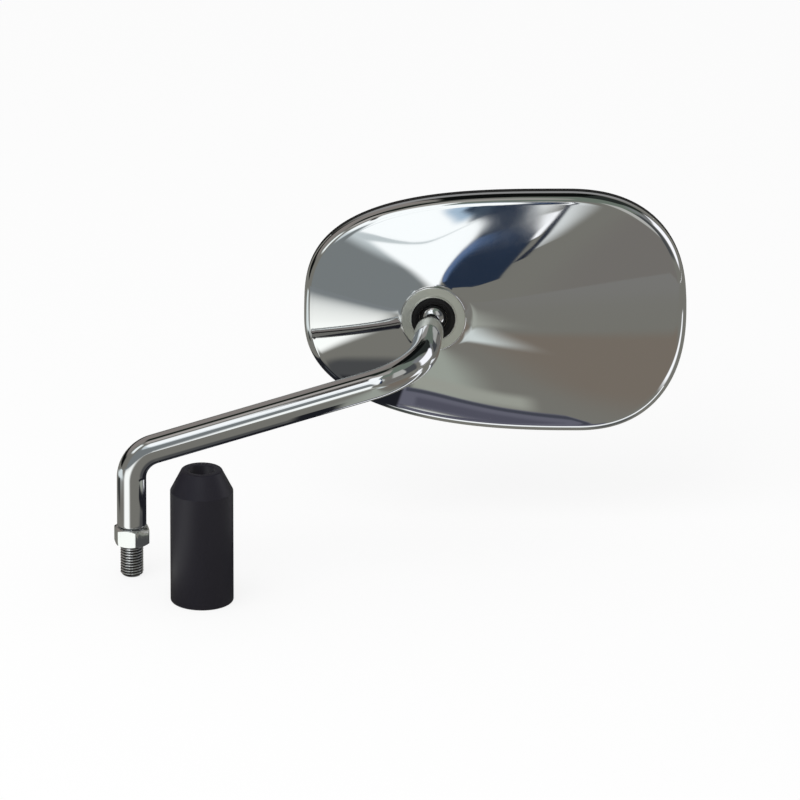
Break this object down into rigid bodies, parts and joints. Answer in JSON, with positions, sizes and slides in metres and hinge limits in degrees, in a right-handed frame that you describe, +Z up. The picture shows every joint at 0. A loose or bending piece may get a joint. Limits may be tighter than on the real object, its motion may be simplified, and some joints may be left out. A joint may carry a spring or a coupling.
{
  "type": "motorcycle mirror",
  "caption": "Left-hand motorcycle mirror: bent chrome stem with a threaded stud and ball joint, pressed chrome shell with convex glass, lock nut, and a separate rubber boot.",
  "frame": {"origin": "on the axis of the stud, level with the seat of the lock nut", "axes": "+X runs out along the arm towards the head, +Y is the side that the glass faces (towards the rider), and +Z is up along the stud"},
  "size_m": [0.2494, 0.126, 0.1493],
  "materials": {
    "stem_chrome": "bright chrome plate on steel rod",
    "nut_chrome": "chrome plate, less bright than the stem",
    "shell_chrome": "bright chrome plate on pressed steel",
    "boot_rubber": "satin black moulded rubber",
    "seal_rubber": "matt black rubber",
    "seat_nylon": "natural nylon",
    "bracket_steel": "zinc-plated pressed steel",
    "fastener_steel": "zinc-plated steel",
    "mirror_glass": "back-silvered convex glass"
  },
  "bodies": {
    "root": {"stem": "stem_chrome", "boot": "boot_rubber"},
    "nut": {"lock_nut": "nut_chrome"},
    "front_liner": {"front_seat": "seat_nylon"},
    "rear_liner": {"rear_seat": "seat_nylon"},
    "head": {"shell": "shell_chrome", "dust_collar": "seal_rubber", "socket_bracket": "bracket_steel", "pressure_plate": "bracket_steel", "clamp_screws": "fastener_steel", "spring_washers": "fastener_steel", "rim_gasket": "seal_rubber", "mirror_glass": "mirror_glass"}
  },
  "joints": [
    {"name": "nut_travel", "type": "slide", "parent": "root", "child": "nut", "axis": [0, 0, -1], "range_m": [0, 0.012]},
    {"name": "head_pan", "type": "hinge", "parent": "root", "child": "front_liner", "pos_m": [0.13112, 0.05693, 0.0841], "axis": [0, 0.1045, 0.9945], "range_deg": [-22, 10]},
    {"name": "head_tilt", "type": "hinge", "parent": "front_liner", "child": "rear_liner", "pos_m": [0.13112, 0.05693, 0.0841], "axis": [1, 0, 0], "range_deg": [-6, 26]},
    {"name": "head_roll", "type": "hinge", "parent": "rear_liner", "child": "head", "pos_m": [0.13112, 0.05693, 0.0841], "axis": [0, 0.9945, -0.1045], "continuous": true}
  ]
}
